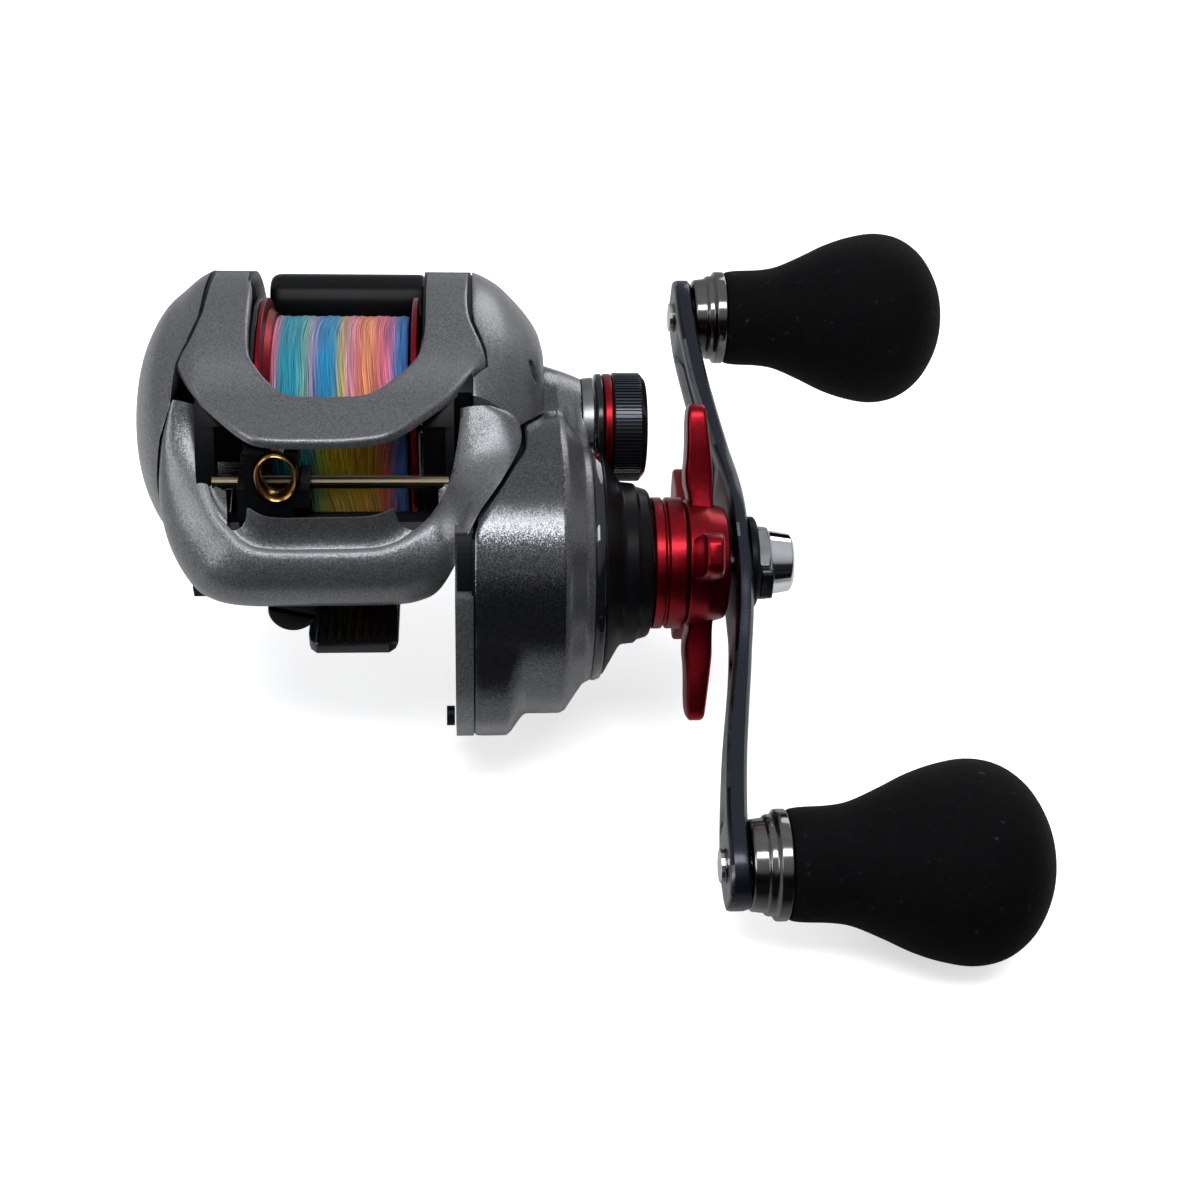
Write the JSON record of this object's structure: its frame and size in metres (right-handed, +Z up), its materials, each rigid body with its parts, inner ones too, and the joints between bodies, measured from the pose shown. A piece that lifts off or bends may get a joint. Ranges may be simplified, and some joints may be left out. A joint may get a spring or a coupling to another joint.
{
  "type": "baitcasting reel",
  "caption": "Low-profile baitcasting fishing reel with a round gear case, star drag, swept double-knob handle and level wind, for winding and casting line from a rod.",
  "frame": {"origin": "centre of the flat underside of the reel foot", "axes": "+X across the spool towards the handle, +Y to the rear, along the foot, away from the line exit, +Z up from the foot to the spool"},
  "size_m": [0.1267, 0.1218, 0.0658],
  "materials": {
    "frame": "gunmetal metallic flake paint, satin",
    "front_bumper": "gunmetal metallic flake paint, satin",
    "palm_side_plate": "gunmetal metallic flake paint, satin",
    "gear_cover": "gunmetal metallic flake paint, satin",
    "gear_side_shell": "gunmetal metallic flake paint, satin",
    "clutch_housing": "black, satin",
    "clutch_bar": "black, satin",
    "palm_release_lever": "black, satin",
    "brake_dial": "black, satin",
    "idler_gear": "black, satin",
    "worm_gear": "black, satin",
    "level_wind_drive_gear": "black, satin",
    "worm_guard": "black, satin",
    "line_guide": "black, satin",
    "reel_foot": "black, satin",
    "slotted_screw": "black, satin",
    "cover_screw": "black, satin",
    "handle_hub_washer": "black, satin",
    "carbon_drag_washer": "black, satin",
    "handle_arm": "black-navy anodised",
    "cast_control_cap": "black-navy anodised",
    "star_drag": "red anodised, bright",
    "drag_click_ring": "red anodised, bright",
    "cast_control_ring": "red anodised, bright",
    "spool": "red anodised, bright",
    "spool_shaft": "ground steel",
    "drive_shaft": "ground steel",
    "anti_reverse_ratchet": "ground steel",
    "metal_drag_washer": "ground steel",
    "drag_sleeve": "ground steel",
    "clutch_cam": "ground steel",
    "clutch_yoke": "ground steel",
    "clutch_post_lower": "ground steel",
    "clutch_post_upper": "ground steel",
    "worm_shaft": "ground steel",
    "guide_rod": "ground steel",
    "foot_rivet_front": "ground steel",
    "foot_rivet_rear": "ground steel",
    "left_spool_bearing": "ground steel",
    "right_spool_bearing": "ground steel",
    "pinion_bearing": "ground steel",
    "roller_clutch": "ground steel",
    "pawl_cap": "ground steel",
    "knob_post_front": "ground steel",
    "knob_post_rear": "ground steel",
    "brake_magnet_ring": "ground steel",
    "brake_inductor": "ground steel",
    "cast_control_seat": "ground steel",
    "handle_nut": "polished",
    "knob_collar_front": "polished",
    "knob_collar_rear": "polished",
    "pinion_gear": "machined",
    "drive_gear": "machined",
    "drag_nut": "machined",
    "pawl": "machined",
    "line_guide_eyelet": "machined",
    "knob_front": "soft closed-cell EVA foam, matt",
    "knob_rear": "soft closed-cell EVA foam, matt",
    "fishing_line": "braided line that changes colour along its length"
  },
  "bodies": {
    "reel_body": {"frame": "frame", "reel_foot": "reel_foot", "foot_rivet_front": "foot_rivet_front", "foot_rivet_rear": "foot_rivet_rear", "front_bumper": "front_bumper", "slotted_screw": "slotted_screw", "gear_side_shell": "gear_side_shell", "gear_cover": "gear_cover", "clutch_housing": "clutch_housing", "cover_screw": "cover_screw", "cast_control_seat": "cast_control_seat", "guide_rod": "guide_rod", "worm_guard": "worm_guard", "clutch_post_upper": "clutch_post_upper", "clutch_post_lower": "clutch_post_lower", "pinion_bearing": "pinion_bearing", "right_spool_bearing": "right_spool_bearing", "roller_clutch": "roller_clutch"},
    "palm_plate": {"palm_side_plate": "palm_side_plate", "brake_magnet_ring": "brake_magnet_ring", "left_spool_bearing": "left_spool_bearing"},
    "release_lever": {"palm_release_lever": "palm_release_lever"},
    "brake_dial": {"brake_dial": "brake_dial"},
    "spool": {"spool": "spool", "spool_shaft": "spool_shaft", "fishing_line": "fishing_line", "brake_inductor": "brake_inductor"},
    "crank": {"drive_shaft": "drive_shaft", "anti_reverse_ratchet": "anti_reverse_ratchet", "level_wind_drive_gear": "level_wind_drive_gear", "metal_drag_washer": "metal_drag_washer", "drag_sleeve": "drag_sleeve", "handle_arm": "handle_arm", "handle_hub_washer": "handle_hub_washer", "handle_nut": "handle_nut", "knob_post_front": "knob_post_front", "knob_post_rear": "knob_post_rear", "drag_click_ring": "drag_click_ring"},
    "drive_gear": {"drive_gear": "drive_gear", "carbon_drag_washer": "carbon_drag_washer"},
    "pinion": {"pinion_gear": "pinion_gear"},
    "yoke": {"clutch_yoke": "clutch_yoke"},
    "cam": {"clutch_cam": "clutch_cam"},
    "clutch_bar": {"clutch_bar": "clutch_bar"},
    "idler": {"idler_gear": "idler_gear"},
    "worm": {"worm_gear": "worm_gear", "worm_shaft": "worm_shaft"},
    "line_guide": {"line_guide": "line_guide", "line_guide_eyelet": "line_guide_eyelet", "pawl_cap": "pawl_cap"},
    "pawl": {"pawl": "pawl"},
    "star": {"star_drag": "star_drag"},
    "drag_nut": {"drag_nut": "drag_nut"},
    "cast_control": {"cast_control_cap": "cast_control_cap", "cast_control_ring": "cast_control_ring"},
    "knob_front": {"knob_front": "knob_front", "knob_collar_front": "knob_collar_front"},
    "knob_rear": {"knob_rear": "knob_rear", "knob_collar_rear": "knob_collar_rear"}
  },
  "joints": [
    {"name": "crank_spin", "type": "hinge", "parent": "reel_body", "child": "crank", "pos_m": [0.0578, -0.0192, 0.0082], "axis": [1, 0, 0], "continuous": true},
    {"name": "drive_gear_spin", "type": "hinge", "parent": "reel_body", "child": "drive_gear", "pos_m": [0.0234, -0.0192, 0.0082], "axis": [1, 0, 0], "continuous": true},
    {"name": "spool_spin", "type": "hinge", "parent": "reel_body", "child": "spool", "pos_m": [-0.0022, -0.0027, 0.022], "axis": [1, 0, 0], "continuous": true},
    {"name": "pinion_spin", "type": "hinge", "parent": "yoke", "child": "pinion", "pos_m": [0.0228, -0.0027, 0.022], "axis": [1, 0, 0], "continuous": true},
    {"name": "idler_spin", "type": "hinge", "parent": "reel_body", "child": "idler", "pos_m": [0.0186, -0.01542, 0.01768], "axis": [1, 0, 0], "continuous": true},
    {"name": "worm_spin", "type": "hinge", "parent": "reel_body", "child": "worm", "pos_m": [-0.0022, -0.0262, 0.0185], "axis": [1, 0, 0], "continuous": true},
    {"name": "line_guide_traverse", "type": "slide", "parent": "reel_body", "child": "line_guide", "axis": [1, 0, 0], "range_m": [-0.001, 0.017]},
    {"name": "pawl_swivel", "type": "hinge", "parent": "line_guide", "child": "pawl", "pos_m": [-0.0098, -0.0262, 0.0154], "axis": [0, 0, 1], "range_deg": [-28, 28]},
    {"name": "clutch_bar_press", "type": "slide", "parent": "reel_body", "child": "clutch_bar", "axis": [0, 0, -1], "range_m": [0, 0.0045]},
    {"name": "clutch_cam_turn", "type": "hinge", "parent": "reel_body", "child": "cam", "pos_m": [0.014, -0.0027, 0.022], "axis": [1, 0, 0], "range_deg": [-18.5, 0]},
    {"name": "yoke_slide", "type": "slide", "parent": "reel_body", "child": "yoke", "axis": [1, 0, 0], "range_m": [0, 0.00181]},
    {"name": "star_drag_turn", "type": "hinge", "parent": "crank", "child": "star", "pos_m": [0.0518, -0.0192, 0.0082], "axis": [1, 0, 0], "range_deg": [-180, 180]},
    {"name": "drag_nut_travel", "type": "slide", "parent": "star", "child": "drag_nut", "axis": [1, 0, 0], "range_m": [-0.00036, 0.00036]},
    {"name": "cast_control_turn", "type": "hinge", "parent": "reel_body", "child": "cast_control", "pos_m": [0.0408, -0.0027, 0.022], "axis": [1, 0, 0], "range_deg": [-180, 180]},
    {"name": "palm_plate_pull", "type": "slide", "parent": "reel_body", "child": "palm_plate", "axis": [-1, 0, 0], "range_m": [0, 0.012]},
    {"name": "release_lever_press", "type": "slide", "parent": "palm_plate", "child": "release_lever", "axis": [0, 0, -1], "range_m": [0, 0.0012]},
    {"name": "brake_dial_turn", "type": "hinge", "parent": "palm_plate", "child": "brake_dial", "pos_m": [-0.0232, -0.0027, 0.022], "axis": [1, 0, 0], "range_deg": [0, 150]},
    {"name": "front_knob_spin", "type": "hinge", "parent": "crank", "child": "knob_front", "pos_m": [0.0728, -0.06618, -0.0089], "axis": [1, 0, 0], "continuous": true},
    {"name": "rear_knob_spin", "type": "hinge", "parent": "crank", "child": "knob_rear", "pos_m": [0.0728, 0.02779, 0.0253], "axis": [1, 0, 0], "continuous": true}
  ],
  "couplings": [
    {"joint": "drive_gear_spin", "follows": "crank_spin", "ratio": 1},
    {"joint": "spool_spin", "follows": "crank_spin", "ratio": -7.9},
    {"joint": "pinion_spin", "follows": "crank_spin", "ratio": -7.9},
    {"joint": "idler_spin", "follows": "crank_spin", "ratio": -0.7},
    {"joint": "worm_spin", "follows": "crank_spin", "ratio": 0.875},
    {"joint": "clutch_cam_turn", "follows": "clutch_bar_press", "rad_per_m": -70},
    {"joint": "yoke_slide", "follows": "clutch_bar_press", "ratio": 0.4},
    {"joint": "drag_nut_travel", "follows": "star_drag_turn", "m_per_rad": -0.0001114}
  ]
}
